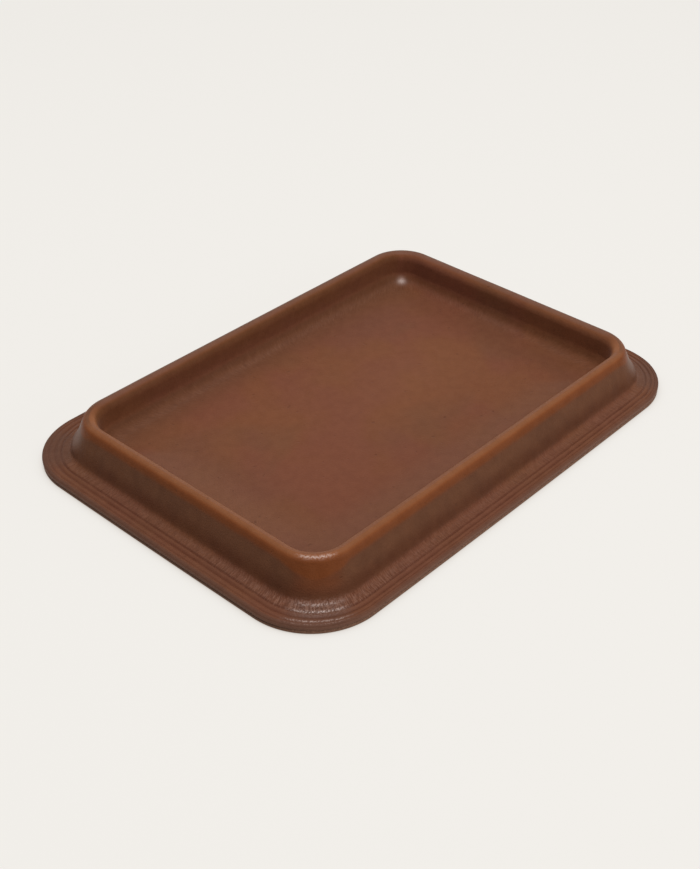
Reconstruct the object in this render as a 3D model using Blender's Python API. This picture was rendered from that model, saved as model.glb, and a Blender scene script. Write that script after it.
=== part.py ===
"""Decorative tray: a moulded leather skin over a dowelled wooden rim, on a flat leather base.

All sizes are in metres and the tray stands on z = 0, centred on the origin, with its long sides along X.
Seen from above, every edge, fold and board follows one family of rounded rectangles, told apart by their
inset from the cut edge. Seen in section, the leather, the wood under it and the board in the floor follow
one profile, told apart by their depth below the leather's face.
"""

import math

import bmesh
import bpy
from mathutils import Vector

# Overall size: cut edge to cut edge, and table to the top of the rim
LENGTH = 0.400
WIDTH = 0.292
HEIGHT = 0.0332

# Corner radii seen from above: at the cut edge, along the top of the rim, down the inner wall and round the floor
EDGE_CORNER = 0.0518
RIM_CORNER = 0.0262
WALL_CORNER = 0.0204
FLOOR_CORNER = 0.0240

# Sheets, from the table up
BASE_LEATHER = 0.0025
TOP_LEATHER = 0.0032
FLOOR_BOARD = 0.0012
GLUE_LINE = 0.0003

# Section of the rim, measured on the leather's face
RIM_INSET = 0.0311
RIM_TOP_RADIUS = 0.0050
SHOULDER_RADIUS = 0.0090
COVE_RADIUS = 0.0100
FOOT_RADIUS = 0.0055
OUTER_LEAN = math.radians(22)
INNER_LEAN = math.radians(2)
SHOULDER_START = math.radians(35)

# Cut edge of the two leathers
EDGE_ROUNDING = 0.0009
UNDER_ROUNDING = 0.0004
BASE_SET_BACK = 0.0002
BASE_ROUNDING = 0.0005

# Tooled lines along the flange, counted from the cut edge
FINE_LINE_INSETS = (0.0019, 0.0044)
FINE_LINE_WIDTH = 0.0007
FINE_LINE_DEPTH = 0.0003
BROAD_LINE_INSETS = (0.0072, 0.0110)
BROAD_LINE_WIDTH = 0.0014
BROAD_LINE_DEPTH = 0.0006

# Wooden rim core
TOE_HEIGHT = 0.0014
REBATE_DEPTH = 0.0030
REBATE_LIP = 0.0012
CORNER_REACH = 0.0730
DOWEL_RADIUS = 0.0022
DOWEL_LENGTH = 0.0240
DOWEL_CHAMFER = 0.0005
DOWEL_HEIGHT = 0.0110
DOWEL_FIT = 0.0003

# Facets
CORNER_STEPS = 10
ARC_STEPS = {"foot": 4, "rise": 5, "fall": 3, "shoulder": 3, "cove": 5, "edge": 3}
DOWEL_SIDES = 16
SHARP_ANGLE = math.radians(40)

# Directions in the section: inset grows to the right, height upwards
QUARTER = math.pi / 2
UP, DOWN = QUARTER, -QUARTER
DOWN_FROM_LEFT = 3 * QUARTER

# Heights that follow from the sheets
FLANGE_TOP = BASE_LEATHER + GLUE_LINE + TOP_LEATHER
CORE_BOTTOM = BASE_LEATHER + GLUE_LINE
BOARD_TOP = CORE_BOTTOM + FLOOR_BOARD
FLOOR_TOP = BOARD_TOP + GLUE_LINE + TOP_LEATHER


# Plan

def corner_radius(inset):
    """Corner radius of the plan outline at an inset: even steps from the edge to the rim, the inner wall and the floor."""
    wall_inset = shoulder_centre()[0] + SHOULDER_RADIUS
    stops = [(0, EDGE_CORNER), (RIM_INSET, RIM_CORNER), (wall_inset, WALL_CORNER), (cove_centre()[0], FLOOR_CORNER)]
    for (low, low_radius), (high, high_radius) in zip(stops, stops[1:]):
        if inset <= high:
            return low_radius + (high_radius - low_radius) * (inset - low) / (high - low)
    return FLOOR_CORNER


def corner_point(inset, height, quarter, turn):
    """Point on a corner arc of the outline at an inset. Quarter 0 is the corner at +X +Y, and they run anticlockwise."""
    radius = corner_radius(inset)
    side_x = 1 if quarter in (0, 3) else -1
    side_y = 1 if quarter in (0, 1) else -1
    centre_x = side_x * (LENGTH / 2 - inset - radius)
    centre_y = side_y * (WIDTH / 2 - inset - radius)
    angle = QUARTER * quarter + turn
    return Vector((centre_x + radius * math.cos(angle), centre_y + radius * math.sin(angle), height))


def corner_turns():
    """The angles at which a quarter circle is divided."""
    return [QUARTER * step / CORNER_STEPS for step in range(CORNER_STEPS + 1)]


def plan_ring(inset, height):
    """A whole outline at an inset and a height, anticlockwise: four quarter circles joined by straight sides."""
    return [corner_point(inset, height, quarter, turn) for quarter in range(4) for turn in corner_turns()]


# Section. A point is (inset, height). Depth runs from the leather's face into the material.

def arc(centre, radius, start, end, steps):
    """Points on an arc in the section, both ends included."""
    points = []
    for step in range(steps + 1):
        angle = start + (end - start) * step / steps
        points.append((centre[0] + radius * math.cos(angle), centre[1] + radius * math.sin(angle)))
    return points


def rim_centre():
    """Centre of the round top of the rim."""
    return RIM_INSET, HEIGHT - RIM_TOP_RADIUS


def shoulder_centre():
    """Centre of the softer inner shoulder, which carries on from the round top without a break."""
    x, z = rim_centre()
    back = SHOULDER_RADIUS - RIM_TOP_RADIUS
    return x - back * math.cos(SHOULDER_START), z - back * math.sin(SHOULDER_START)


def foot_centre():
    """Centre of the hollow between flange and outer wall, touching the flange and the wall's leaning line."""
    x, z = rim_centre()
    wall_x = x - RIM_TOP_RADIUS * math.cos(OUTER_LEAN)
    wall_z = z + RIM_TOP_RADIUS * math.sin(OUTER_LEAN)
    centre_z = FLANGE_TOP + FOOT_RADIUS
    centre_x = wall_x - (FOOT_RADIUS - (centre_z - wall_z) * math.sin(OUTER_LEAN)) / math.cos(OUTER_LEAN)
    return centre_x, centre_z


def cove_centre():
    """Centre of the hollow between inner wall and floor, touching the floor and the inner wall's line."""
    x, z = shoulder_centre()
    wall_x = x + SHOULDER_RADIUS * math.cos(INNER_LEAN)
    wall_z = z + SHOULDER_RADIUS * math.sin(INNER_LEAN)
    centre_z = FLOOR_TOP + COVE_RADIUS
    centre_x = wall_x + (COVE_RADIUS - (centre_z - wall_z) * math.sin(INNER_LEAN)) / math.cos(INNER_LEAN)
    return centre_x, centre_z


def rim_section(depth, foot_start=DOWN, cove_end=DOWN_FROM_LEFT):
    """The rim's profile at a depth below the leather's face, from the flange over the top and down to the floor."""
    top_radius = RIM_TOP_RADIUS - depth
    return (
        arc(foot_centre(), FOOT_RADIUS + depth, foot_start, -OUTER_LEAN, ARC_STEPS["foot"])
        + arc(rim_centre(), top_radius, math.pi - OUTER_LEAN, UP, ARC_STEPS["rise"])
        + arc(rim_centre(), top_radius, UP, SHOULDER_START, ARC_STEPS["fall"])[1:]
        + arc(shoulder_centre(), SHOULDER_RADIUS - depth, SHOULDER_START, INNER_LEAN, ARC_STEPS["shoulder"])[1:]
        + arc(cove_centre(), COVE_RADIUS + depth, math.pi + INNER_LEAN, cove_end, ARC_STEPS["cove"])
    )


def tooled_line(inset, width, depth):
    """Section of one tooled line pressed into the flange."""
    return [(inset - width / 2, FLANGE_TOP), (inset, FLANGE_TOP - depth), (inset + width / 2, FLANGE_TOP)]


def leather_section():
    """Closed section of the top leather: floor underside, out to the cut edge, back over the face to the floor."""
    underside = list(reversed(rim_section(TOP_LEATHER)))
    edge_bottom = BASE_LEATHER + GLUE_LINE
    cut_edge = [(UNDER_ROUNDING, edge_bottom), (0, edge_bottom + UNDER_ROUNDING)]
    cut_edge += arc((EDGE_ROUNDING, FLANGE_TOP - EDGE_ROUNDING), EDGE_ROUNDING, math.pi, UP, ARC_STEPS["edge"])
    lines = []
    for inset in FINE_LINE_INSETS:
        lines += tooled_line(inset, FINE_LINE_WIDTH, FINE_LINE_DEPTH)
    for inset in BROAD_LINE_INSETS:
        lines += tooled_line(inset, BROAD_LINE_WIDTH, BROAD_LINE_DEPTH)
    return underside + cut_edge + lines + rim_section(0)


def core_depth():
    """How far the wood lies below the leather's face."""
    return TOP_LEATHER + GLUE_LINE


def foot_toe_angle():
    """Angle on the foot's arc where the wood is cut off blunt, TOE_HEIGHT thick."""
    radius = FOOT_RADIUS + core_depth()
    return -math.asin((foot_centre()[1] - CORE_BOTTOM - TOE_HEIGHT) / radius)


def cove_lip_angle():
    """Angle on the cove's arc where the wood ends, REBATE_LIP thick above the floor board's rebate."""
    radius = COVE_RADIUS + core_depth()
    lip_top = BOARD_TOP + GLUE_LINE + REBATE_LIP
    return math.pi + math.asin((cove_centre()[1] - lip_top) / radius)


def core_section():
    """Closed section of the wooden rim, with its blunt toe and the rebate over the floor board."""
    face = rim_section(core_depth(), foot_toe_angle(), cove_lip_angle())
    toe = face[0][0]
    lip = face[-1][0]
    rebate = BOARD_TOP + GLUE_LINE
    return [(toe, CORE_BOTTOM)] + face + [
        (lip, rebate), (lip - REBATE_DEPTH, rebate), (lip - REBATE_DEPTH, CORE_BOTTOM)]


def board_inset():
    """Inset of the floor board's edge: GLUE_LINE short of the back of the rebate."""
    return core_section()[-1][0] + GLUE_LINE


# Meshes

def material(name, colour, roughness):
    """A plain material with the part's colour."""
    made = bpy.data.materials.new(name)
    made.use_nodes = True
    shader = made.node_tree.nodes["Principled BSDF"]
    shader.inputs["Base Color"].default_value = (*colour, 1)
    shader.inputs["Roughness"].default_value = roughness
    shader.inputs["Metallic"].default_value = 0
    made.diffuse_color = (*colour, 1)
    return made


def finished_mesh(name, shape, finish):
    """Turns a bmesh into a mesh with outward faces, shaded smooth except at its sharp edges."""
    bmesh.ops.recalc_face_normals(shape, faces=shape.faces)
    mesh = bpy.data.meshes.new(name)
    shape.to_mesh(mesh)
    shape.free()
    mesh.materials.append(finish)
    mesh.shade_smooth()
    mesh.set_sharp_from_angle(angle=SHARP_ANGLE)
    return mesh


def add_object(name, mesh, place=(0, 0, 0), turn=0):
    """Places a mesh in the scene under a name, turned about the vertical."""
    made = bpy.data.objects.new(name, mesh)
    made.location = place
    made.rotation_euler = (0, 0, turn)
    bpy.context.scene.collection.objects.link(made)
    return made


def loft(rings):
    """Skins a list of closed rings of equal length with quads, and caps the first and the last."""
    shape = bmesh.new()
    verts = [[shape.verts.new(point) for point in ring] for ring in rings]
    count = len(rings[0])
    for lower, upper in zip(verts, verts[1:]):
        for step in range(count):
            after = (step + 1) % count
            shape.faces.new((lower[step], lower[after], upper[after], upper[step]))
    shape.faces.new(verts[0])
    shape.faces.new(verts[-1])
    return shape


def sheet(name, section, finish):
    """A leather or board sheet: its section carried round the plan, closed by flat faces across the middle."""
    rings = [plan_ring(inset, height) for inset, height in section]
    return add_object(name, finished_mesh(name, loft(rings), finish))


def reached(point, side_x, side_y, along_x):
    """A section point (inset, height) on the joint plane of a corner, on the long or on the short side."""
    inset, height = point
    if along_x:
        return Vector((side_x * (LENGTH / 2 - CORNER_REACH), side_y * (WIDTH / 2 - inset), height))
    return Vector((side_x * (LENGTH / 2 - inset), side_y * (WIDTH / 2 - CORNER_REACH), height))


def corner_block(name, quarter, finish):
    """A quarter turn of the rim core, with a short straight run at each end up to the joint."""
    section = core_section()
    side_x = 1 if quarter in (0, 3) else -1
    side_y = 1 if quarter in (0, 1) else -1
    starts_on_short_side = quarter in (0, 2)
    rings = [[reached(point, side_x, side_y, not starts_on_short_side) for point in section]]
    for turn in corner_turns():
        rings.append([corner_point(*point, quarter, turn) for point in section])
    rings.append([reached(point, side_x, side_y, starts_on_short_side) for point in section])
    return add_object(name, finished_mesh(name, loft(rings), finish))


def rail(name, place, turn, room, finish):
    """A straight run of the rim core in the room between two corner blocks, GLUE_LINE clear of each.

    It lies along X with its inset counted towards +Y, and is then placed at the middle of its side's cut edge.
    """
    half = room / 2 - GLUE_LINE
    rings = [[Vector((end, inset, height)) for inset, height in core_section()] for end in (-half, half)]
    return add_object(name, finished_mesh(name, loft(rings), finish), place, turn)


def dowel_shape(spare):
    """A round rod along X with chamfered ends, grown by a spare on every side: none for the dowel itself."""
    half = DOWEL_LENGTH / 2 + spare
    radius = DOWEL_RADIUS + spare
    tip = radius - DOWEL_CHAMFER
    rings = []
    for along, size in ((-half, tip), (DOWEL_CHAMFER - half, radius), (half - DOWEL_CHAMFER, radius), (half, tip)):
        angles = [2 * math.pi * side / DOWEL_SIDES for side in range(DOWEL_SIDES)]
        rings.append([Vector((along, size * math.cos(angle), size * math.sin(angle))) for angle in angles])
    return loft(rings)


def cut_hole(wood, cutter):
    """Cuts a dowel's hole into a piece of wood."""
    cut = wood.modifiers.new(cutter.name, "BOOLEAN")
    cut.operation = "DIFFERENCE"
    cut.solver = "EXACT"
    cut.object = cutter


# Pieces

def make_base_leather(finish):
    """The flat lower sheet, set back a little under the top leather, with softened edges."""
    section = (
        arc((BASE_SET_BACK + BASE_ROUNDING, BASE_ROUNDING), BASE_ROUNDING, DOWN, -math.pi, ARC_STEPS["edge"])
        + [(BASE_SET_BACK, BASE_LEATHER)]
    )
    return sheet("base_leather", section, finish)


def make_top_leather(finish):
    """The moulded skin: flange with its tooled lines, rim and floor, in one piece."""
    return sheet("top_leather", leather_section(), finish)


def make_floor_board(finish):
    """The stiffener under the floor, with its edge in the rebate of the rim core."""
    inset = board_inset()
    return sheet("floor_board", [(inset, CORE_BOTTOM), (inset, BOARD_TOP)], finish)


def make_rim_core(finish):
    """Rails and corner blocks by name."""
    wood = {}
    for quarter, name in enumerate(("back_right", "back_left", "front_left", "front_right")):
        wood[name] = corner_block(f"rim_corner_{name}", quarter, finish)
    long_room = LENGTH - 2 * CORNER_REACH
    short_room = WIDTH - 2 * CORNER_REACH
    wood["front"] = rail("rim_rail_front", (0, -WIDTH / 2, 0), 0, long_room, finish)
    wood["back"] = rail("rim_rail_back", (0, WIDTH / 2, 0), math.pi, long_room, finish)
    wood["left"] = rail("rim_rail_left", (-LENGTH / 2, 0, 0), -QUARTER, short_room, finish)
    wood["right"] = rail("rim_rail_right", (LENGTH / 2, 0, 0), QUARTER, short_room, finish)
    return wood


def make_dowels(wood, finish):
    """The dowel across each joint, under the top of the rim, and its hole in the rail and in the corner block."""
    dowel = finished_mesh("dowel", dowel_shape(0), finish)
    hole = finished_mesh("dowel_hole", dowel_shape(DOWEL_FIT), finish)
    joint = CORNER_REACH + GLUE_LINE / 2
    for side_y, end_y in ((-1, "front"), (1, "back")):
        for side_x, end_x in ((-1, "left"), (1, "right")):
            on_long = (side_x * (LENGTH / 2 - joint), side_y * (WIDTH / 2 - RIM_INSET), DOWEL_HEIGHT)
            on_short = (side_x * (LENGTH / 2 - RIM_INSET), side_y * (WIDTH / 2 - joint), DOWEL_HEIGHT)
            for rail_name, other_end, place, turn in ((end_y, end_x, on_long, 0), (end_x, end_y, on_short, QUARTER)):
                joint_name = f"{rail_name}_rail_{other_end}"
                add_object(f"dowel_{joint_name}", dowel, place, turn)
                cutter = add_object(f"hole_{joint_name}", hole, place, turn)
                cutter.hide_render = True
                cutter.display_type = "WIRE"
                cut_hole(wood[rail_name], cutter)
                cut_hole(wood[f"{end_y}_{end_x}"], cutter)


def main():
    """Clears the scene and builds the tray."""
    for old in list(bpy.data.objects):
        bpy.data.objects.remove(old)
    hide = material("top_hide", (0.165, 0.062, 0.034), 0.45)
    base_hide = material("base_hide", (0.075, 0.033, 0.020), 0.7)
    wood_finish = material("rim_wood", (0.56, 0.40, 0.24), 0.6)
    dowel_finish = material("dowel_wood", (0.66, 0.50, 0.32), 0.6)
    board_finish = material("grey_board", (0.42, 0.36, 0.28), 0.8)
    make_base_leather(base_hide)
    make_top_leather(hide)
    make_floor_board(board_finish)
    wood = make_rim_core(wood_finish)
    make_dowels(wood, dowel_finish)


main()
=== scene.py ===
# %% [markdown]
# # Dressing a moulded leather tray
#
# The real tray is one hide, pressed wet over a wooden rim and left to dry, on a second flat hide that closes
# it from below. The packed model already holds every solid piece at its real size. What it lacks is the
# hide's surface: tooled lines with soft edges, a burnished rim, grain that is drawn into streaks where the
# hide was stretched, and the patchy colour of a waxed skin. This lesson works those out, piece by piece.

import bmesh
import bpy
import numpy as np
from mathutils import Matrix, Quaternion, Vector


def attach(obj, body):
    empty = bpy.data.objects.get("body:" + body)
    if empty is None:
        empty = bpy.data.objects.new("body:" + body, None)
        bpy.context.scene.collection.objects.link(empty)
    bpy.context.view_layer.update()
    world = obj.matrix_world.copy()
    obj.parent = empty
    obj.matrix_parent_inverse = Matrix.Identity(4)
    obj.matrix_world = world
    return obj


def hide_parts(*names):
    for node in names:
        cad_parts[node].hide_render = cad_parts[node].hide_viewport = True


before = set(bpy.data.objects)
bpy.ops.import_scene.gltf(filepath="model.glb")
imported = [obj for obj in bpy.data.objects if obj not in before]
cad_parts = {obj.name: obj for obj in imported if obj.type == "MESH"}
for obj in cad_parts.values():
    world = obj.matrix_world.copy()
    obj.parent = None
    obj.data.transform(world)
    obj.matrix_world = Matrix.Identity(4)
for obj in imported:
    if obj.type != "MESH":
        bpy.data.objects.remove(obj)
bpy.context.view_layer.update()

# %% [markdown]
# ## The view
#
# The photograph was taken from above a corner with a fairly long lens. The camera is set by the turn, the
# tilt and the distance that make the tray's edges land where the photograph has them. A small shift of the
# sensor keeps the tray's place in the frame without changing its perspective.

# %% Where the camera stands
LONG_SIDE_PIXELS = 869
FOCAL_PIXELS = 1370.5
TRAY_CENTRE_PIXELS = (12.1, -17.8)
SENSOR_WIDTH = 36
NEAREST_SEEN, FARTHEST_SEEN = 0.05, 50
CAMERA_TURN, CAMERA_TILT, CAMERA_ROLL = np.radians([47.69, 34.87, 0.15])
CAMERA_DISTANCE = 0.9927
AIM = np.array([-0.0013, 0.0011, 0.0])

towards_camera = np.array([
    -np.sin(CAMERA_TURN) * np.cos(CAMERA_TILT),
    -np.cos(CAMERA_TURN) * np.cos(CAMERA_TILT),
    np.sin(CAMERA_TILT),
])
print("the camera is seen from the tray along", towards_camera.round(3))

# %% Set the camera
lens = bpy.data.cameras.new("camera")
lens.sensor_width = SENSOR_WIDTH
lens.lens = lens.sensor_width * FOCAL_PIXELS / LONG_SIDE_PIXELS
lens.shift_x = -TRAY_CENTRE_PIXELS[0] / LONG_SIDE_PIXELS
lens.shift_y = TRAY_CENTRE_PIXELS[1] / LONG_SIDE_PIXELS
lens.clip_start, lens.clip_end = NEAREST_SEEN, FARTHEST_SEEN
camera = bpy.data.objects.new("camera", lens)
camera.location = AIM + CAMERA_DISTANCE * towards_camera
camera.rotation_mode = "QUATERNION"
upright = Vector(towards_camera).to_track_quat("Z", "Y")
camera.rotation_quaternion = upright @ Quaternion((0, 0, 1), CAMERA_ROLL)
bpy.context.scene.collection.objects.link(camera)
bpy.context.scene.camera = camera
bpy.context.scene.view_settings.view_transform = "Standard"
print("lens:", round(lens.lens, 1), "mm, camera at", [round(c, 3) for c in camera.location])

# %% [markdown]
# ## Sums on sockets
#
# Materials here are built from sums, such as `1 - hollow * 0.5`. A small class wraps an output socket, so
# that Python's own operators add the Math nodes. Every other node comes from the one method `of`. Colours
# are written down as a picture shows them, from 0 to 255, because that is how they are judged.

# %% A wire that can stand in a sum
class Wire:
    """An output socket of a shader node. Each operator adds the Math node that works the sum out."""

    def __init__(self, socket):
        self.socket = socket

    @classmethod
    def of(cls, tree, kind, settings=(), sockets=(), output=0):
        """Adds one node of a kind: its settings come first, then the numbers or wires of its sockets."""
        node = tree.nodes.new(kind)
        for name, value in dict(settings).items():
            setattr(node, name, value)
        for name, value in dict(sockets).items():
            if isinstance(value, cls):
                tree.links.new(value.socket, node.inputs[name])
            else:
                node.inputs[name].default_value = value
        return cls(node.outputs[output])

    def more(self, kind, settings=(), sockets=(), output=0):
        """A node in the same tree as this wire."""
        return Wire.of(self.socket.id_data, kind, settings, sockets, output)

    def into(self, shader, name):
        """Links this wire to a socket of a shader in the same tree."""
        self.socket.id_data.links.new(self.socket, shader.inputs[name])

    def maths(self, operation, first, second):
        """The Math node of one operation on two wires or numbers."""
        return self.more("ShaderNodeMath", {"operation": operation}, {0: first, 1: second})

    def __add__(self, other):
        return self.maths("ADD", self, other)

    def __sub__(self, other):
        return self.maths("SUBTRACT", self, other)

    def __rsub__(self, other):
        return self.maths("SUBTRACT", other, self)

    def __mul__(self, other):
        return self.maths("MULTIPLY", self, other)

    __radd__ = __add__
    __rmul__ = __mul__

    def rising(self, start, end):
        """0 up to the start, 1 from the end on, a smooth step between. The start may be the larger one."""
        return self.more("ShaderNodeMapRange", {"interpolation_type": "SMOOTHSTEP"},
                         {"Value": self, "From Min": start, "From Max": end})

    def blend(self, start, end):
        """The start colour where this wire is 0, and the end colour where it is 1."""
        return self.more("ShaderNodeMix", {"data_type": "RGBA"}, {0: self, 6: start, 7: end}, 2)


print("a wire knows", ", ".join(name for name in vars(Wire) if not name.startswith("_")))

# %% Colours and new materials
def colour(red, green, blue):
    """A colour as a picture shows it, from 0 to 255, turned into the light that a shader works with."""
    shown = np.array([red, green, blue]) / 255
    light = np.where(shown <= 0.04045, shown / 12.92, ((shown + 0.055) / 1.055) ** 2.4)
    return (*light.tolist(), 1)


def new_finish(name, **constants):
    """A new material with its shader. Constants go to the shader's own sockets, with _ for a space."""
    finish = bpy.data.materials.new(name)
    finish.use_nodes = True
    shader = finish.node_tree.nodes["Principled BSDF"]
    for socket, value in constants.items():
        shader.inputs[socket.replace("_", " ")].default_value = value
    return finish, shader


print("a mid grey is", round(colour(128, 128, 128)[0], 3), "of full light")

# %% [markdown]
# ## Studio
#
# The photograph has an even, warm white ground with hardly any shadow. The ground's colour is mostly given
# to the camera as plain emission, and the rest is a real diffuse surface, so a soft shadow is left and light
# comes back from below. Emission would wash out the narrow shadow where the tray touches the ground. That
# one is painted in the ground's own colour, the darker the more an Ambient Occlusion node finds the place
# covered. The tray is lit by one soft lamp overhead, a weak one from the front right, and a dim sky.

# %% What the camera sees
GROUND = colour(241, 238, 233)


def seen_share(tree):
    """1 for what the camera sees, also in a reflection or through glass, and 0 for light on the tray."""
    rays = [Wire.of(tree, "ShaderNodeLightPath", output=name) for name in
            ("Is Camera Ray", "Is Glossy Ray", "Is Transmission Ray")]
    return (rays[0] + rays[1] + rays[2]).rising(0, 1)


print("the ground shows as", [round(part, 3) for part in GROUND[:3]])

# %% Sky
SKY_STRENGTH = 0.36

world = bpy.data.worlds.new("studio")
world.use_nodes = True
bpy.context.scene.world = world
dim_sky = (SKY_STRENGTH, SKY_STRENGTH, SKY_STRENGTH, 1)
seen_share(world.node_tree).blend(dim_sky, GROUND).into(world.node_tree.nodes["Background"], "Color")
print("sky:", SKY_STRENGTH, "of full light on the tray")

# %% Lamps
TRAY_CENTRE = Vector((0, 0, 0))


def lamp(name, place, size, watts):
    """A square soft lamp at a place, aimed at the tray."""
    light = bpy.data.lights.new(name, "AREA")
    light.size, light.energy = size, watts
    made = bpy.data.objects.new(name, light)
    made.location = place
    made.rotation_mode = "QUATERNION"
    made.rotation_quaternion = (Vector(place) - TRAY_CENTRE).to_track_quat("Z", "Y")
    bpy.context.scene.collection.objects.link(made)
    print(name, size, "m wide,", watts, "W")


lamp("lamp_overhead", (-0.02, -0.12, 2.2), 0.5, 28.0)
lamp("lamp_front", (0.5, -1.9, 0.7), 1.0, 11.0)

# %% Ground
GROUND_REACH = 6.0
PLAIN_SHARE, PLAIN_STRENGTH = 0.7, 1.24
CONTACT_REACH, CONTACT_DEPTH, CONTACT_SHADE = 0.012, 1.1, colour(150, 130, 112)

paper_finish, paper = new_finish("ground_paper", Base_Color=colour(170, 168, 164), Roughness=1,
                                 Specular_IOR_Level=0)
tree = paper_finish.node_tree
open_sky = Wire.of(tree, "ShaderNodeAmbientOcclusion", {"samples": 16}, {"Distance": CONTACT_REACH}, "AO")
covered = 1 - open_sky
contact = covered * covered * CONTACT_DEPTH
glow = Wire.of(tree, "ShaderNodeEmission", {},
               {"Color": contact.blend(GROUND, CONTACT_SHADE), "Strength": PLAIN_STRENGTH})
front = Wire.of(tree, "ShaderNodeMixShader", {},
                {0: seen_share(tree) * PLAIN_SHARE, 1: Wire(paper.outputs[0]), 2: glow})
from_below = Wire.of(tree, "ShaderNodeNewGeometry", output="Backfacing")
clear = Wire.of(tree, "ShaderNodeBsdfTransparent")
both_sides = Wire.of(tree, "ShaderNodeMixShader", {}, {0: from_below, 1: front, 2: clear})
both_sides.into(tree.nodes["Material Output"], "Surface")

ground_corners = [(-GROUND_REACH, -GROUND_REACH, 0), (GROUND_REACH, -GROUND_REACH, 0),
                  (GROUND_REACH, GROUND_REACH, 0), (-GROUND_REACH, GROUND_REACH, 0)]
ground_mesh = bpy.data.meshes.new("ground")
ground_mesh.from_pydata(ground_corners, [], [(0, 1, 2, 3)])
ground_mesh.materials.append(paper_finish)
ground = bpy.data.objects.new("ground", ground_mesh)
bpy.context.scene.collection.objects.link(ground)
print("ground reaches", GROUND_REACH, "m each way")

# %% [markdown]
# ## The tray's sizes
#
# Everything follows one section, drawn as (inset, height): inset counts in from the cut edge, height up from
# the table. Seen from above, each point of that section runs round one rounded rectangle. On this tray the
# edge was trimmed a little off centre round the pressed rim, so the outermost rectangles are shifted. Its
# sides also bow outward by a few tenths of a millimetre. Each pair says where a change starts and ends.

# %% Sizes in metres, leans in degrees
LENGTH, WIDTH, HEIGHT = 0.400, 0.292, 0.0332
EDGE_CORNER, RIM_CORNER, WALL_CORNER, FLOOR_CORNER = 0.0518, 0.0262, 0.0204, 0.0240
BASE_LEATHER, TOP_LEATHER, GLUE_LINE = 0.0025, 0.0032, 0.0003
FLANGE_TOP, FLOOR_TOP = 0.0060, 0.0075
RIM_INSET, RIM_TOP_RADIUS, SHOULDER_RADIUS = 0.0311, 0.0050, 0.0090
FOOT_RADIUS, COVE_RADIUS = 0.0055, 0.0100
OUTER_LEAN, INNER_LEAN, SHOULDER_START = 22.0, 2.0, 35.0
EDGE_ROUNDING = 0.0013
print("the edge of both hides is", FLANGE_TOP, "m thick")

# %% What the hand left: trim and bow
TRIM_SHIFT, TRIM_SHIFT_ENDS = np.array([-0.0013, 0.0011]), 0.0070
FLANGE_BOW, RIM_BOW = np.array([0.0003, 0.0006]), np.array([0.0, 0.0002])
BOW_CHANGES, BOW_FADES = (0.0, 0.026), (0.045, 0.110)


def step(values, low, high):
    """0 below low, 1 above high, and the smooth curve 3t^2 - 2t^3 between."""
    t = np.clip((values - low) / (high - low), 0, 1)
    return t * t * (3 - 2 * t)


print("a third of the way up a step:", round(float(step(1 / 3, 0, 1)), 3))

# %% [markdown]
# ## The section of the hide
#
# A designer would draw this profile once and sweep it. Arcs that touch each other without a corner keep the
# shading smooth: a hollow foot, a leaning wall, a tight round top, a softer inner shoulder, an almost
# upright inner wall and a cove down to the floor. The same arcs at a greater depth give its underside.

# %% Arcs of the section
def arc(centre, radius, start, end, count):
    """Section points at centre + radius * (cos, sin) of count angles from start to end, in degrees."""
    angle = np.radians(np.linspace(start, end, count))
    return np.stack([centre[0] + radius * np.cos(angle), centre[1] + radius * np.sin(angle)], axis=1)


def touching(centre, radius, lean, far_radius, far_z):
    """Centre of a hollow arc at a height, so that one leaning line touches it and a round arc as well."""
    lean = np.radians(lean)
    wall_x = centre[0] + radius * np.cos(lean)
    wall_z = centre[1] + radius * np.sin(lean)
    side, slope = np.sign(np.cos(lean)), abs(np.sin(lean))
    return np.array([wall_x + side * (far_radius - (far_z - wall_z) * slope) / abs(np.cos(lean)), far_z])


rim_centre = np.array([RIM_INSET, HEIGHT - RIM_TOP_RADIUS])
shoulder_turn = np.radians(SHOULDER_START)
shoulder_back = (SHOULDER_RADIUS - RIM_TOP_RADIUS) * np.array([np.cos(shoulder_turn), np.sin(shoulder_turn)])
shoulder_centre = rim_centre - shoulder_back
foot_centre = touching(rim_centre, RIM_TOP_RADIUS, 180 - OUTER_LEAN, FOOT_RADIUS, FLANGE_TOP + FOOT_RADIUS)
cove_centre = touching(shoulder_centre, SHOULDER_RADIUS, INNER_LEAN, COVE_RADIUS, FLOOR_TOP + COVE_RADIUS)
print("foot centre", foot_centre.round(5), "cove centre", cove_centre.round(5))

# %% The profile over the rim
def straight(start, end, count):
    """Count points evenly between two ends of the section, without the ends themselves."""
    share = np.linspace(0, 1, count + 2)[1:-1, None]
    return start + (end - start) * share


def rim_profile(depth, counts):
    """The profile from the flange over the rim to the floor, at a depth below the hide's face."""
    foot, wall, top, shoulder, drop, cove = counts
    foot_arc = arc(foot_centre, FOOT_RADIUS + depth, -90, -OUTER_LEAN, foot)
    top_arc = arc(rim_centre, RIM_TOP_RADIUS - depth, 180 - OUTER_LEAN, SHOULDER_START, top)
    shoulder_arc = arc(shoulder_centre, SHOULDER_RADIUS - depth, SHOULDER_START, INNER_LEAN, shoulder)[1:]
    cove_arc = arc(cove_centre, COVE_RADIUS + depth, 180 + INNER_LEAN, 270, cove)
    outer_wall_rows = straight(foot_arc[-1], top_arc[0], wall)
    inner_wall_rows = straight(shoulder_arc[-1], cove_arc[0], drop)
    return np.concatenate([foot_arc, outer_wall_rows, top_arc, shoulder_arc, inner_wall_rows, cove_arc])


def run_along(rows):
    """Distance along a section from its first row to each of its rows."""
    return np.concatenate([[0], np.cumsum(np.hypot(*np.diff(rows, axis=0).T))])


rim_face = rim_profile(0, (9, 1, 9, 9, 1, 9))
print("face of the rim, from foot to floor:", round(run_along(rim_face)[-1], 4), "m")

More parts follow.
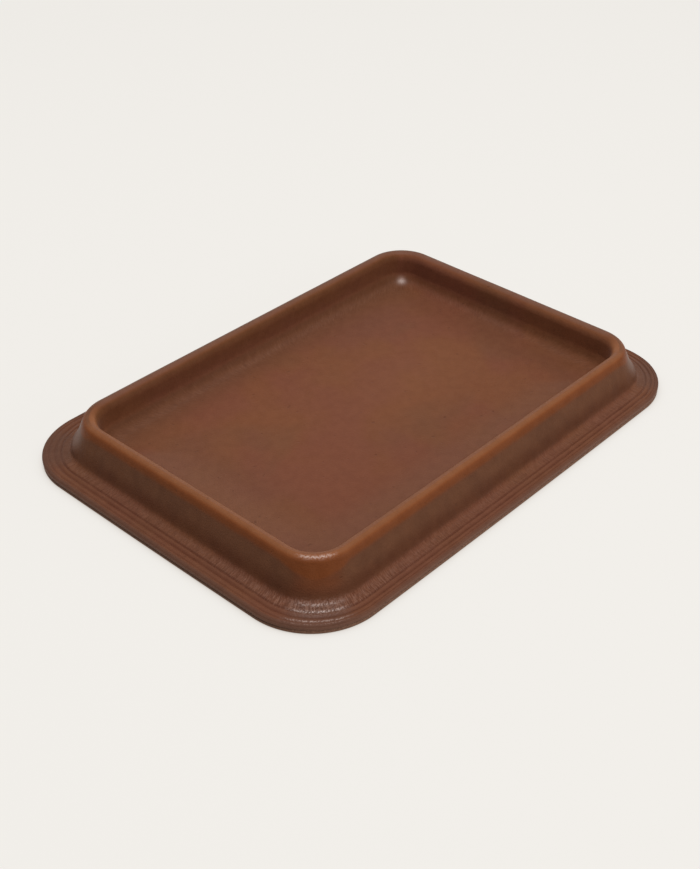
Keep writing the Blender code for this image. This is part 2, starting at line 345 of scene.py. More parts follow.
# %% [markdown]
# ## Rings seen from above
#
# One formula gives every ring: a corner's centre slides in with the inset, its radius shrinks evenly from
# the edge to the rim and on to the inner wall, and a straight side runs between two corners. A whole surface
# is then a grid with the section down its rows and the ring along its columns, worked out as whole arrays.

# %% Columns of the ring
CORNER_STEPS, LONG_STEPS, SHORT_STEPS = 34, 118, 72

corner_turn = 90 * np.arange(CORNER_STEPS) / CORNER_STEPS
long_run = 1 - 2 * np.arange(LONG_STEPS) / LONG_STEPS
short_run = 1 - 2 * np.arange(SHORT_STEPS) / SHORT_STEPS
corner_ones, long_ones, short_ones = np.ones(CORNER_STEPS), np.ones(LONG_STEPS), np.ones(SHORT_STEPS)
along_x = np.concatenate([corner_ones, long_run, -corner_ones, -short_ones,
                          -corner_ones, -long_run, corner_ones, short_ones])
along_y = np.concatenate([corner_ones, long_ones, corner_ones, short_run,
                          -corner_ones, -long_ones, -corner_ones, -short_run])
facing = np.radians(np.concatenate([
    corner_turn, 90 * long_ones, 90 + corner_turn, 180 * short_ones,
    180 + corner_turn, 270 * long_ones, 270 + corner_turn, 360 * short_ones]))
print("columns:", len(facing))

# %% Rings at any inset
def ring_radius(inset):
    """Corner radius: even steps from edge to rim, inner wall and floor, and never wider than the room."""
    stops = [0, RIM_INSET, shoulder_centre[0] + SHOULDER_RADIUS, cove_centre[0]]
    radius = np.interp(inset, stops, [EDGE_CORNER, RIM_CORNER, WALL_CORNER, FLOOR_CORNER])
    return np.minimum(radius, WIDTH / 2 - inset)


def rings(inset):
    """X and Y of a ring for each inset: corner centre + radius * (cos, sin) of the facing, bow and trim."""
    inset = inset[:, None]
    radius = ring_radius(inset)
    fade = step(inset, *BOW_CHANGES)
    bow = (FLANGE_BOW * (1 - fade) + RIM_BOW * fade) * (1 - step(inset, *BOW_FADES))
    trim = TRIM_SHIFT * (1 - np.clip(inset / TRIM_SHIFT_ENDS, 0, 1))
    x = along_x * (LENGTH / 2 - inset - radius) + radius * np.cos(facing)
    y = along_y * (WIDTH / 2 - inset - radius) + radius * np.sin(facing)
    x = x + bow[:, :1] * (1 - along_y ** 2) * np.cos(facing) + trim[:, :1]
    y = y + bow[:, 1:] * (1 - along_x ** 2) * np.sin(facing) + trim[:, 1:]
    return x, y


crest_x, crest_y = (line[0] for line in rings(np.array([RIM_INSET])))
crest_steps = np.hypot(np.diff(crest_x, append=crest_x[0]), np.diff(crest_y, append=crest_y[0]))
around = np.concatenate([[0], np.cumsum(crest_steps)])
print("round the rim:", round(around[-1], 3), "m")

# %% [markdown]
# ## From arrays to a closed mesh
#
# The grid is closed on itself round the ring. Its first and last rows are rings that have shrunk to a line
# in the middle of the sheet, and merging their doubled points closes them, so that the hide is one closed
# body. A UV map keeps metres round the rim and metres along the section, for grain that follows the hide.

# %% Grid to mesh
MERGE_DISTANCE = 0.000002


def grid_mesh(name, x, y, z, run, marks):
    """A closed mesh from rows (section) by columns (ring), with a UV map in metres and marks per point."""
    rows, columns = z.shape
    first = np.arange(rows - 1)[:, None] * columns
    here, after = np.arange(columns), (np.arange(columns) + 1) % columns
    quads = np.stack([first + here, first + after, first + columns + after, first + columns + here], axis=-1)
    mesh = bpy.data.meshes.new(name)
    mesh.from_pydata(np.stack([x, y, z], axis=-1).reshape(-1, 3), [], quads.reshape(-1, 4))
    u = np.stack([around[:-1], around[1:], around[1:], around[:-1]], axis=-1)
    v = np.stack([run[:-1], run[:-1], run[1:], run[1:]], axis=-1)
    uv = np.stack(np.broadcast_arrays(u[None], v[:, None]), axis=-1)
    mesh.uv_layers.new(name="hide_map").data.foreach_set("uv", uv.astype(np.float32).ravel())
    for mark, values in marks.items():
        layer = mesh.attributes.new(mark, "FLOAT", "POINT")
        layer.data.foreach_set("value", np.broadcast_to(values, z.shape).astype(np.float32).ravel())
    shape = bmesh.new()
    shape.from_mesh(mesh)
    bmesh.ops.remove_doubles(shape, verts=shape.verts, dist=MERGE_DISTANCE)
    open_edges = sum(1 for edge in shape.edges if len(edge.link_faces) != 2)
    shape.to_mesh(mesh)
    shape.free()
    mesh.shade_smooth()
    print(name, "points", len(mesh.vertices), "faces", len(mesh.polygons), "open edges", open_edges)
    return mesh


def piece(mesh, finish, slot, *replaced):
    """Puts a mesh in the scene as a piece that rides on the body and stands for the replaced nodes."""
    made = bpy.data.objects.new(mesh.name, mesh)
    bpy.context.scene.collection.objects.link(made)
    mesh.materials.append(finish)
    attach(made, "root")
    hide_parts(*replaced)
    print(made.name, "stands for", ", ".join(replaced))

# %% [markdown]
# ## The top hide
#
# The rows of the hide's section start on the middle line of its underside, run out under the rim to the cut
# edge, and come back over the face. They lie close together where the face bends or is tooled, and far apart
# on the underside, which nobody sees.

# %% Rows of the hide's section
EDGE_BOTTOM = BASE_LEATHER + GLUE_LINE
CORNER_EASE = 0.0004
FLOOR_CROWDING = 1.25
CUT_ROWS = (0.0038, 0.0043)
FLANGE_ROWS, EDGE_ROWS, FLOOR_ROWS, UNDER_FLOOR_ROWS = 48, 8, 22, 4
FACE_COUNTS, UNDER_COUNTS = (12, 18, 20, 7, 5, 15), (4, 1, 6, 3, 1, 5)


def level(insets, height):
    """Section points at some insets, all at one height."""
    return np.stack([insets, np.full(len(insets), height)], axis=1)


def toward_middle(height, count):
    """Rows from the end of the cove to the middle line of the tray, closer together near the cove."""
    share = np.linspace(0, 1, count + 1)[1:] ** FLOOR_CROWDING
    return level(cove_centre[0] + (WIDTH / 2 - cove_centre[0]) * share, height)


underside = np.concatenate([rim_profile(TOP_LEATHER, UNDER_COUNTS),
                            toward_middle(FLOOR_TOP - TOP_LEATHER, UNDER_FLOOR_ROWS)])[::-1]
cut_edge = np.concatenate([
    [[CORNER_EASE, EDGE_BOTTOM], [CORNER_EASE / 3, EDGE_BOTTOM + CORNER_EASE / 3]],
    [[0, EDGE_BOTTOM + CORNER_EASE]],
    [[0, row] for row in CUT_ROWS],
    arc((EDGE_ROUNDING, FLANGE_TOP - EDGE_ROUNDING), EDGE_ROUNDING, 180, 90, EDGE_ROWS)])
flange = level(np.linspace(EDGE_ROUNDING, foot_centre[0], FLANGE_ROWS)[1:-1], FLANGE_TOP)
face = np.concatenate([cut_edge, flange, rim_profile(0, FACE_COUNTS), toward_middle(FLOOR_TOP, FLOOR_ROWS)])
section = np.concatenate([underside, face])
print("rows:", len(section), "hide across the section:", round(run_along(section)[-1], 3), "m")

# %% [markdown]
# Four lines are tooled along the flange: two fine ones near the edge, and two broad ones. The outer side of
# each is steep, and its inner side eases out. A wheel or a blunt blade would press them into the damp hide,
# so they are soft dents in the grid and no cuts. The hide also wavers by a tenth of a millimetre or so, as
# hand-pressed leather does, which keeps the highlights from running dead straight.

# %% Tooled lines
LINES = (  # inset, half width outside, half width inside, depth
    (0.0018, 0.00035, 0.00060, 0.00014),
    (0.0036, 0.00040, 0.00075, 0.00026),
    (0.0070, 0.00070, 0.00130, 0.00037),
    (0.0107, 0.00070, 0.00090, 0.00045),
)


def bell(values, middle, half):
    """1 at the middle, and exp(-((value - middle) / half)^2) away from it."""
    return np.exp(-((values - middle) / half) ** 2)


def tooled_depth(inset):
    """How far the lines are pressed in at an inset: the sum of depth * bell, wider inside than outside."""
    depth = np.zeros_like(inset)
    for middle, outside, inside, pressed in LINES:
        depth += pressed * bell(inset, middle, np.where(inset < middle, outside, inside))
    return depth


print("deepest line:", round(float(tooled_depth(np.linspace(0, 0.014, 200)).max()), 5), "m")

# %% Waver of the hide
WAVES, FULL_TURN = 6, 6.28


def waver(x, y, seed, pitch):
    """A slow unevenness between -1 and 1: the mean of six sine waves that cross the tray in seeded ways."""
    chance = np.random.default_rng(seed)
    headings, phases = chance.uniform(0, FULL_TURN, WAVES), chance.uniform(0, FULL_TURN, WAVES)
    total = np.zeros_like(x)
    for heading, phase, stretch in zip(headings, phases, chance.uniform(0.7, 1.5, WAVES)):
        total += np.sin((x * np.cos(heading) + y * np.sin(heading)) * FULL_TURN / (pitch * stretch) + phase)
    return total / WAVES


print("waver of the crest:", waver(crest_x, crest_y, 8, 0.06).round(2)[:3], "and so on")

# %% [markdown]
# The tooled lines, a low terrace and the waver change the height of the grid. The terrace is a soft step of
# 0.6 mm: from the third line inward the flange stands a little higher, as its shading in the photograph
# suggests, and it falls back at the foot of the rim. The walls are pushed sideways along the way that each
# column faces. At the two end corners, left and right in the photograph, the wall flares out at its foot.

# %% Where on the grid a point is
CLOSE = 0.0001
NEAR_CORNER, FAR_CORNER, NEAR_SHORT_SIDE, FAR_SHORT_SIDE = 225, 45, 180, 0
END_CORNER_START = (0.84, 0.98)

inset, height = section[:, :1], section[:, 1:]
x, y = rings(section[:, 0])
on_face = (np.arange(len(section)) >= len(underside))[:, None]
outer = on_face & (inset < RIM_INSET)
inner = on_face & (inset >= RIM_INSET)
on_flange = outer & (inset < foot_centre[0] + CLOSE) & (height < FLANGE_TOP + CLOSE)


def between(values, rise, fall):
    """0 outside and 1 inside: a step up over the pair rise, times a step down over the pair fall."""
    return step(values, *rise) * (1 - step(values, *fall))


def towards(heading):
    """1 where a column faces a heading in degrees, and -1 where it faces away: the cosine between them."""
    return np.cos(facing - np.radians(heading))


end_corners = step(np.abs(np.sin(facing - np.radians(FAR_CORNER))), *END_CORNER_START)
print("rows on the face:", int(on_face.sum()), "of them outside the crest:", int(outer.sum()))

# %% Heights and pushes
LINES_START, LINES_END = (0.0009, 0.0013), (0.0138, 0.0148)
TERRACE_RISE, TERRACE_UP, TERRACE_DOWN = 0.0006, (0.0068, 0.0125), (0.0135, 0.0190)
FLOOR_WAVER, FLOOR_WAVER_START = 0.00016, (0.040, 0.052)
WALL_WAVER, WALL_WAVER_START = 0.00010, (0.0080, 0.0150)
FLARE, FLARE_HEIGHT, FLARE_HALF = 0.0016, 0.0120, 0.0045

pressed = tooled_depth(inset) * between(inset, LINES_START, LINES_END) * on_flange
uneven_press = 1 + 0.5 * waver(x, y, 3, 0.09) + 0.6 * waver(x, y, 4, 0.018)
uneven_floor = FLOOR_WAVER * step(inset, *FLOOR_WAVER_START) * on_face * waver(x, y, 5, 0.085)
terrace = TERRACE_RISE * between(inset, TERRACE_UP, TERRACE_DOWN) * outer
z = height - pressed * uneven_press + uneven_floor + terrace
uneven_walls = WALL_WAVER * step(height, *WALL_WAVER_START) * on_face * waver(x, y, 8, 0.06)
push = uneven_walls + FLARE * bell(height, FLARE_HEIGHT, FLARE_HALF) * end_corners * outer
x = x + push * np.cos(facing)
y = y + push * np.sin(facing)
print("highest point:", round(float(z.max()), 5), "m, widest push:", round(float(push.max()), 5), "m")

# %% [markdown]
# ## Marks for the finish
#
# The finish has to know where on the hide it is. Marks are numbers from 0 to 1 at each point of the grid,
# and the material blends its browns by them. They come from the same inset, height and facing as the shape
# does, so that a burnished edge or a polished crest stays on its own fold. Each pair of insets or heights
# says over what stretch a mark sets in or fades. The first marks are about the rim: a crest that is paler
# and smoother towards the near sides, a painted sheen on the far crests, a worn band under the crest that
# reaches down at the near corner, and the outer wall.

# %% Marks of the rim
CREST_BAND, CREST_REACHES_INSIDE = (0.0312, 0.0331), 0.0022
PAINTED_SHEEN_BAND = (0.0314, 0.0330)
RIDGE_INSET, RIDGE_HALF = 0.0346, 0.0017
WORN_BAND, WORN_TOP, WORN_REACHES_DOWN = (0.0245, 0.0305), (0.0318, 0.0331), 0.0050
NEAR_WALL_START, WALL_START, UPPER_WALL_START = (0.0085, 0.0190), (0.0062, 0.0105), (0.0120, 0.0215)

toward_near_corner = step(towards(NEAR_CORNER), -0.1, 0.6)
polished = step(towards(NEAR_CORNER), -0.45, 0.3)
at_corner = np.minimum(np.abs(np.sin(facing)), np.abs(np.cos(facing))) * np.sqrt(2)
near_corner = step(towards(NEAR_CORNER + 1), 0.86, 0.985)
near_wall = step(towards(NEAR_CORNER + 3), 0.78, 0.995)

ridge = 0.54 + 0.46 * bell(inset, RIDGE_INSET, RIDGE_HALF) - 0.35 * end_corners * outer
crest = step(height + CREST_REACHES_INSIDE * inner, *CREST_BAND) * (0.2 + 0.8 * polished) * ridge * on_face
band = step(height + WORN_REACHES_DOWN * at_corner * toward_near_corner, *WORN_BAND)
band = band * (1 - 0.8 * step(height, *WORN_TOP))
worn = np.clip(band + 0.50 * near_wall * step(height, *NEAR_WALL_START), 0, 1) * outer
outer_wall = step(height, *WALL_START) * outer * (1 - worn)
marks = {
    "crest": crest,
    # painted sheen: the far crests turn greyer, standing in for the pale reflection along their tops
    "painted_far_crest_sheen": step(height, *PAINTED_SHEEN_BAND) * step(towards(FAR_CORNER), 0.3, 0.7) * on_face,
    "worn": worn,
    "outer_wall": outer_wall,
    "upper_wall": step(height, *UPPER_WALL_START) * outer_wall * (1 - 0.6 * near_corner),
}
print("marks of the rim:", list(marks))

# %% [markdown]
# Inside the rim the upper part of the far long wall is darkened with painted shade, and so is the cove, all
# round but for the far corner. The floor keeps a dull bloom of wax, mostly next to that wall. It has a few
# broad stains whose places are given, an end that is darker than the rest, and a paler margin along the near
# sides.

# %% Marks of the inner walls and the floor
WALL_SHADE_UP, WALL_SHADE_DOWN = (0.0100, 0.0260), (0.0300, 0.0330)
CREST_SHADE_HEIGHT, CREST_SHADE_HALF = 0.0307, 0.0026
COVE_SHADE_UP, COVE_SHADE_DOWN = (0.0077, 0.0122), (0.0125, 0.0165)
BLOOM_UP, BLOOM_DOWN = (0.0368, 0.0385), (0.0420, 0.0700)
FLOOR_START, MARGIN_DOWN = (0.0440, 0.0500), (0.0600, 0.0850)
DARK_END_INSET, DARK_END_HALF = 0.0620, 0.0160
OLIVE_STAINS = (  # share, middle x, middle y, half x, half y
    (1.0, -0.120, 0.010, 0.018, 0.080),
    (1.0, 0.095, 0.078, 0.055, 0.020),
    (0.7, -0.010, -0.040, 0.022, 0.016),
)
TAN_STAIN = (0.050, 0.003, 0.050, 0.030)  # middle x, middle y, half x, half y

far_long_side = step(np.sin(facing), 0.2, 0.9)
far_corner = bell(facing, np.radians(42.5), np.radians(8.5))
off_far_corner = 1 - 0.8 * far_corner
floor = step(inset, *FLOOR_START) * on_face


def patch(middle_x, middle_y, half_x, half_y):
    """1 at a place on the tray, and exp(-(dx / half_x)^2 - (dy / half_y)^2) round it."""
    return np.exp(-((x - middle_x) / half_x) ** 2 - ((y - middle_y) / half_y) ** 2)


wall_shade = 0.53 * between(height, WALL_SHADE_UP, WALL_SHADE_DOWN)
crest_shade = 0.45 * bell(height, CREST_SHADE_HEIGHT, CREST_SHADE_HALF)
olive = sum(share * patch(*stain) for share, *stain in OLIVE_STAINS)
dark_end = bell(inset, DARK_END_INSET, DARK_END_HALF) * step(towards(FAR_SHORT_SIDE), 0.70, 0.98)
marks |= {
    # painted shade on the upper part of the far long wall and under its crest
    "inner_wall": (wall_shade + crest_shade) * inner * far_long_side * off_far_corner,
    # painted shade in the cove, all round but for the far corner
    "cove": between(height, COVE_SHADE_UP, COVE_SHADE_DOWN) * inner * off_far_corner,
    "bloom": between(inset, BLOOM_UP, BLOOM_DOWN) * inner * (0.15 + 0.85 * far_long_side),
    "near_floor": (1 - step(inset, *MARGIN_DOWN)) * inner * step(towards(NEAR_CORNER), 0.2, 0.6),
    "olive": np.clip(olive, 0, 1) * floor,
    "tan": patch(*TAN_STAIN) * floor,
    "far_end": dark_end * floor,
}
print("share of the floor that is olive:", round(float(marks["olive"][floor[:, 0] > 0.9].mean()), 3))

# %% [markdown]
# The flange has its own brown, which is greyer at the near corner and the two end corners. The cut face is
# paler than the top, partly as painted light that stands in for light thrown up by the ground, with a
# burnished edge over it, and a narrow painted shade under that edge on the near short side and round the
# near corner. The lines keep dye in their dents. Where the hide was stretched over the two hollows its grain
# is drawn into streaks, most of all round the near corner.

# %% Marks of the flange and the cut edge
FLANGE_DOWN, EDGE_DOWN = (0.0064, 0.0090), (0.0012, 0.0030)
CUT_DOWN, CUT_TOP = (0.0003, 0.0010), (0.0048, 0.0056)
SHADE_DOWN, SHADE_UP = (0.0010, 0.0017), (0.0050, 0.0057)
STRETCH_START, STRETCH_TOP = (0.0080, 0.0130), (0.0070, 0.0115)
DRAWN_START, DRAWN_TOP = (0.0085, 0.0120), (0.0072, 0.0100)
DRAWN_PLACE = (-0.170, -0.116, 0.070, 0.070)  # middle x, middle y, half x, half y
COVE_HOLLOW_INSET, COVE_HOLLOW_HALF = 0.0435, 0.0060
FULL_DENT = 0.00042

near_short_side = step(towards(NEAR_SHORT_SIDE), 0.85, 0.98)
low_down = on_face & (height < FLANGE_TOP + 2 * CLOSE)
edge = (1 - step(inset, *EDGE_DOWN)) * low_down
flange_face = (1 - step(height, *FLANGE_DOWN)) * outer
greyer = np.clip(end_corners + 0.9 * near_corner + near_short_side * edge, 0, 1)
under_edge = (1 - step(inset, *SHADE_DOWN)) * step(height, *SHADE_UP) * low_down
foot_hollow = step(inset, *STRETCH_START) * (1 - step(height, *STRETCH_TOP)) * outer
cove_hollow = bell(inset, COVE_HOLLOW_INSET, COVE_HOLLOW_HALF) * inner
marks |= {
    "flange": flange_face,
    "ends": greyer * flange_face,
    "dents": np.clip(pressed / FULL_DENT, 0, 1),
    "edge": edge,
    "cut": (1 - step(inset, *CUT_DOWN)) * (1 - step(height, *CUT_TOP)) * on_face,
    "cut_shade": under_edge * np.clip(near_short_side + near_corner, 0, 1),
    "stretched": np.clip(foot_hollow * (1 - 0.6 * end_corners) + 0.9 * cove_hollow, 0, 1),
    "drawn": patch(*DRAWN_PLACE) * step(inset, *DRAWN_START) * (1 - step(height, *DRAWN_TOP)) * outer,
}
shaded_rows = int((marks["cut_shade"].max(axis=1) > 0.5).sum())
print("rows in the shade under the edge:", shaded_rows)

# %% [markdown]
# The wax gives the leather a soft second gloss where the folds turn to the light. In the photograph it shows
# as short bright strips on the near corner's flange and crest, as one spot in the cove of the far corner,
# and as a faint sheen on the wall of the two end corners. The shader's coat is laid there and nowhere else.

# %% Marks of the waxed highlights
# the near corner's strips and the far cove's spot also carry a painted highlight: a pale colour in the
# finish
GLINTS = (  # inset, half width, share
    (0.0018, 0.0005, 0.50),
    (0.0042, 0.0007, 0.95),
    (0.0113, 0.0013, 0.80),
    (0.0165, 0.0012, 0.50),
)
VEIL_UP, VEIL_DOWN = (0.0060, 0.0090), (0.0170, 0.0195)
CREST_STRIP_START, CREST_STRIP_INSET, CREST_STRIP_HALF = (0.0300, 0.0315), 0.0292, 0.0013
SPOT_START, SPOT_HEIGHT, SPOT_HALF = (0.0078, 0.0096), 0.0112, 0.0024
SHEEN_UP, SHEEN_DOWN = (0.0110, 0.0170), (0.0250, 0.0305)

strips = 0.14 * between(inset, VEIL_UP, VEIL_DOWN)
for middle, half, share in GLINTS:
    strips = strips + share * bell(inset, middle, half)
crest_strip = step(height, *CREST_STRIP_START) * bell(inset, CREST_STRIP_INSET, CREST_STRIP_HALF)
cove_spot = step(height, *SPOT_START) * bell(height, SPOT_HEIGHT, SPOT_HALF)
wall_sheen = step(height, *SHEEN_UP) * (1 - 0.9 * step(height, *SHEEN_DOWN))
marks |= {
    # coat gloss, and a pale painted highlight on the near corner's flange and crest
    "polish": near_corner * outer * np.clip(strips + crest_strip, 0, 1),
    # coat gloss, and a pale painted highlight in the far corner's cove
    "spot": cove_spot * far_corner * inner,
    "turns": wall_sheen * end_corners * outer,
}
print({name: [round(float(part.min()), 2), round(float(part.max()), 2)] for name, part in marks.items()})

# %% [markdown]
# ## The finish of the top hide
#
# Waxed, vegetable-tanned leather is a brown that drifts between red, orange and olive in patches a few
# centimetres wide. Over that the marks lay their own browns, one after another: the dye and wear of the real
# hide, and also painted shade, a painted sheen and painted highlights. A list of shares and colours says
# what
# is laid on, and its order matters: what comes later covers what came before.

# %% Coordinates, marks and noise
hide, hide_shader = new_finish("waxed_hide", Coat_Roughness=0.42, Specular_IOR_Level=0.06,
                               Sheen_Weight=0.03, Sheen_Roughness=0.45)


def object_place(finish):
    """Metres on the piece itself, as Object coordinates."""
    return Wire.of(finish.node_tree, "ShaderNodeTexCoord", output="Object")


def mark(finish, name):
    """A mark that was kept on the hide's points."""
    return Wire.of(finish.node_tree, "ShaderNodeAttribute", {"attribute_name": name}, output="Fac")


def cloud(where, scale, detail=3.0, rough=0.55, warp=0.0):
    """Soft noise around 0.5; scale counts patches per metre."""
    return where.more("ShaderNodeTexNoise", {}, {"Vector": where, "Scale": scale, "Detail": detail,
                                                 "Roughness": rough, "Distortion": warp})


def scaled(where, x, y, z):
    """The same coordinates stretched by a factor along each axis."""
    return where.more("ShaderNodeMapping", {}, {"Vector": where, "Scale": (x, y, z)})


def laid_on(ground, *layers):
    """Lays colours on a ground one after another. Each layer is a share from 0 to 1 and a colour."""
    for share, tint in layers:
        ground = share.blend(ground, colour(*tint))
    return ground


place = object_place(hide)
hide_map = Wire.of(hide.node_tree, "ShaderNodeUVMap", {"uv_map": "hide_map"})
of_mark = {name: mark(hide, name) for name in marks}
print("marks that the finish reads:", len(of_mark))

# %% Browns that drift over the hide
red_brown, orange_brown, olive_brown = (118, 70, 51), (120, 73, 48), (104, 70, 50)

patches = cloud(place, 16, 2.5, 0.5).rising(0.42, 0.62)
olive_patches = cloud(scaled(place, 1, 1.3, 1), 11, 2.0, 0.5, 0.4).rising(0.52, 0.70)
leather = laid_on(
    patches.blend(colour(*red_brown), colour(*orange_brown)),
    (olive_patches * 0.4, olive_brown),
    (of_mark["olive"] * 0.3, (94, 66, 53)),
    (of_mark["tan"] * 0.3, (129, 84, 55)),
    (of_mark["far_end"] * 0.3, (98, 58, 38)),
)
print("nodes so far:", len(hide.node_tree.nodes))

# %% Browns of the flange, the walls and the cove
blotches = cloud(place, 70, 2.5, 0.6)
rub = (of_mark["worn"] * (0.6 + blotches * 0.8)).rising(0.1, 0.95)
wall_patches = cloud(scaled(place, 1, 1, 0.5), 42, 2.0, 0.5, 0.3)
leather = laid_on(
    leather,
    (of_mark["flange"] * 0.55, (102, 67, 50)),
    (of_mark["outer_wall"] * 0.9, (85, 48, 29)),
    (of_mark["upper_wall"] * 0.8, (109, 71, 49)),
    (wall_patches.rising(0.48, 0.62) * of_mark["outer_wall"] * 0.25, (79, 49, 33)),
    (wall_patches.rising(0.52, 0.38) * of_mark["outer_wall"] * 0.25, (100, 62, 39)),
    (rub * 0.9, (120, 64, 30)),
    (of_mark["crest"] * 0.92, (156, 98, 60)),
    # painted sheen on the far crests
    (of_mark["painted_far_crest_sheen"] * 0.4, (112, 89, 80)),
    # painted shade on the far long wall
    (of_mark["inner_wall"] * 0.85, (91, 54, 27)),
    (of_mark["bloom"] * 0.8, (103, 67, 48)),
    (of_mark["near_floor"] * 0.45, (120, 83, 65)),
    # painted shade in the cove
    (of_mark["cove"] * 0.55, (82, 46, 22)),
    (of_mark["dents"] * (0.25 + blotches * 0.7), (74, 34, 20)),
    (of_mark["edge"] * 0.85, (100, 68, 54)),
    (of_mark["ends"] * 0.6, (90, 64, 53)),
    # paler cut face: partly painted light, standing in for light that the ground throws up
    (of_mark["cut"] * 0.85, (136, 98, 81)),
    (of_mark["cut_shade"] * 0.3, (76, 46, 32)),
)
print("nodes so far:", len(hide.node_tree.nodes))

# %% [markdown]
# Close up, leather is never one brown. Fine specks and a mottle of less than a centimetre cover all of it,
# and the streaks darken and lighten it where the hide was stretched. Those read the hide's own map, so they
# always run across the fold, however the ring turns. Scattered pits are dark, and where the coat glints a
# pale painted highlight is laid into the colour.

# %% Specks, mottle, streaks and pits
DARK_GRAIN = (84, 44, 26)

specks = cloud(place, 900, 2.0, 0.6).rising(0.3, 0.75)
mottle = cloud(place, 130, 3.0, 0.6).rising(0.30, 0.70)
streaks = cloud(scaled(hide_map, 1050, 170, 1), 1.0, 2.0, 0.6, 0.25)
fine_streaks = cloud(scaled(hide_map, 1750, 170, 1), 1.0, 1.0, 0.5, 0.15)
pits = cloud(place, 330, 0.0, 0.5).rising(0.81, 0.87)
grain_glint = cloud(place, 900, 1.0, 0.5).rising(0.42, 0.62)
# the glints set the coat's weight, and below they also lay a painted highlight into the colour
glints = of_mark["polish"] * (0.15 + grain_glint * 0.95) + of_mark["spot"] * (0.85 + grain_glint * 0.15)
leather = laid_on(
    leather,
    (specks * 0.12, DARK_GRAIN),
    (mottle * 0.10, DARK_GRAIN),
    (0.07 - mottle * 0.07, (146, 96, 68)),
    (streaks.rising(0.45, 0.70) * of_mark["stretched"] * 0.33, (74, 43, 29)),
    (streaks.rising(0.50, 0.30) * of_mark["stretched"] * 0.16, (140, 102, 84)),
    (fine_streaks.rising(0.52, 0.38) * of_mark["drawn"] * 0.24, (160, 124, 108)),
    (fine_streaks.rising(0.48, 0.62) * of_mark["drawn"] * 0.30, (66, 40, 30)),
    # painted highlight: a pale colour where the coat glints
    (glints * 0.28, (205, 172, 158)),
    (pits * 0.3, (74, 42, 28)),
)
leather.into(hide_shader, "Base Color")
print("nodes so far:", len(hide.node_tree.nodes))

# %% [markdown]
# The relief has three scales: pebbled grain about a millimetre wide, finer pores, and the streaks. It is too
# fine for the grid, so it goes into a bump. The gloss drifts slowly over the hide. The crest is a little
# smoother than the rest, and the cut edge a little rougher.

# %% Relief and gloss
pebbles = place.more("ShaderNodeTexVoronoi", {"feature": "SMOOTH_F1"},
                     {"Vector": place, "Scale": 850, "Smoothness": 0.35, "Randomness": 1.0})
pores = cloud(place, 2600, 2.0, 0.6)
relief = (1 - pebbles) * 0.55 + pores * 0.25 - pits * 0.8 + streaks * of_mark["stretched"] * 3.4
relief.more("ShaderNodeBump", {}, {"Strength": 0.55, "Distance": 0.00035, "Height": relief}).into(
    hide_shader, "Normal")
gloss_drift = (cloud(place, 40, 2.0) - 0.5) * 0.16
gloss = 0.46 - of_mark["crest"] * 0.14 + of_mark["edge"] * 0.06 + gloss_drift
gloss.into(hide_shader, "Roughness")
wax = glints + of_mark["turns"] * 0.32
wax.into(hide_shader, "Coat Weight")
print("nodes of the finished leather:", len(hide.node_tree.nodes))

# %% Top hide
piece(grid_mesh("moulded_top_hide", x, y, z, run_along(section), marks), hide, "top_hide", "top_leather")

# %% [markdown]
# ## The base hide
#
# The lower hide is plain: flat, with softened corners along its cut edge. It is a short closed section swept
# round the same rings. It is paler than the top hide's flange, and its fibres show; part of that paleness is
# painted light, standing in for light that the ground throws up at the edge. On the near short side the
# upper part of its edge is darkened with painted shade, just below where the two hides meet.

# %% Section of the base hide
BASE_SET_BACK, BASE_ROUNDING, BASE_EASE = 0.0001, 0.0005, 0.0003
BASE_EDGE_ROWS, BASE_FLAT_ROWS = (0.0011, 0.0014, 0.0018), (0.010, 0.030)
BASE_FLOOR_ROWS, BASE_ROUND_ROWS = 6, 6
GAP_SHADE = (0.0011, 0.0019)

base_section = np.concatenate([
    toward_middle(0.0, BASE_FLOOR_ROWS)[::-1],
    level(BASE_FLAT_ROWS[::-1], 0.0),
    arc((BASE_SET_BACK + BASE_ROUNDING, BASE_ROUNDING), BASE_ROUNDING, 270, 180, BASE_ROUND_ROWS),
    [[BASE_SET_BACK, row] for row in BASE_EDGE_ROWS],
    [[BASE_SET_BACK, BASE_LEATHER - BASE_EASE], [BASE_SET_BACK + BASE_EASE, BASE_LEATHER]],
    level(BASE_FLAT_ROWS, BASE_LEATHER),
    toward_middle(BASE_LEATHER, BASE_FLOOR_ROWS),
])
base_x, base_y = rings(base_section[:, 0])
base_z = np.broadcast_to(base_section[:, 1:], base_x.shape)
# painted shade on the upper part of the base hide's edge, along the near short side
gap = near_short_side * step(base_z, *GAP_SHADE)
print("rows of the base hide:", len(base_section))

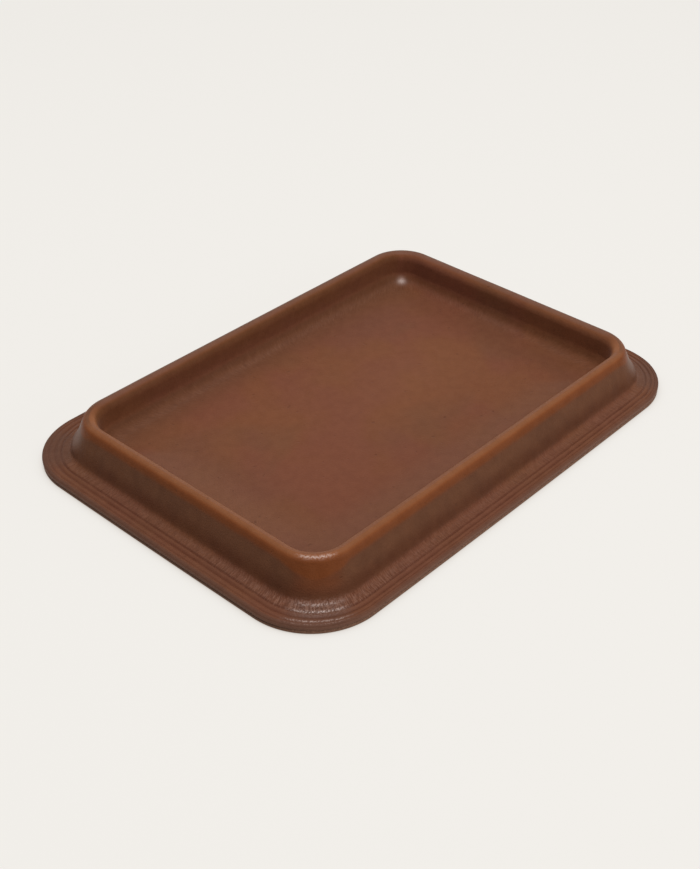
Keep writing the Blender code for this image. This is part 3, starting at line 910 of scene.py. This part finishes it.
# %% Base hide
base_finish, base_shader = new_finish("dyed_base_hide", Roughness=0.75, Specular_IOR_Level=0.2)
fibres = cloud(object_place(base_finish), 700, 3.0, 0.65)
# the paler browns are partly painted light, and the mark lays a painted shade over them
raw_edge_and_painted_light = laid_on(fibres.rising(0.3, 0.7).blend(colour(118, 84, 66), colour(149, 110, 89)),
                   (mark(base_finish, "gap") * 0.6, (66, 46, 36)))
raw_edge_and_painted_light.into(base_shader, "Base Color")
fibres.more("ShaderNodeBump", {}, {"Strength": 0.5, "Distance": 0.0004, "Height": fibres}).into(
    base_shader, "Normal")
base_mesh = grid_mesh("flat_base_hide", base_x, base_y, base_z, run_along(base_section), {"gap": gap})
piece(base_mesh, base_finish, "base_hide", "base_leather")

# %% [markdown]
# ## What the hides cover
#
# The rails, corner blocks, dowels and the floor board stay as the packed solids, because their shapes are
# right and no side of the tray shows them. They still get a finish, for whoever takes the tray apart: planed
# wood with grain along the longer side of the tray, and grey board with flecks of fibre.

# %% Wood and board
def wood_finish(name, pale, dark, rings_per_metre):
    """Planed wood: bands of growth rings that noise bends, stretched along X, with a faint relief."""
    finish, shader = new_finish(name, Roughness=0.6)
    grain = cloud(scaled(object_place(finish), 0.08, 1, 1), rings_per_metre, 4.0, 0.6, 1.2)
    grain.rising(0.35, 0.68).blend(colour(*pale), colour(*dark)).into(shader, "Base Color")
    grain.more("ShaderNodeBump", {}, {"Strength": 0.3, "Distance": 0.0002, "Height": grain}).into(
        shader, "Normal")
    return finish


rim_wood = wood_finish("planed_rim_wood", (205, 176, 136), (168, 132, 90), 420)
dowel_wood = wood_finish("turned_dowel_wood", (219, 196, 158), (190, 160, 118), 600)
grey_board, board_shader = new_finish("pressed_board", Roughness=0.85)
flecks = cloud(object_place(grey_board), 900, 4.0, 0.7).rising(0.35, 0.7)
flecks.blend(colour(172, 161, 143), colour(140, 128, 108)).into(board_shader, "Base Color")
print("finishes for the inside:", rim_wood.name, dowel_wood.name, grey_board.name)

# %% A finish for each covered solid
for name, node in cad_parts.items():
    finish = {"rim": rim_wood, "dowel": dowel_wood, "floor": grey_board}.get(name.split("_")[0])
    if finish:
        node.material_slots[0].material = finish
        print(name, "->", finish.name)
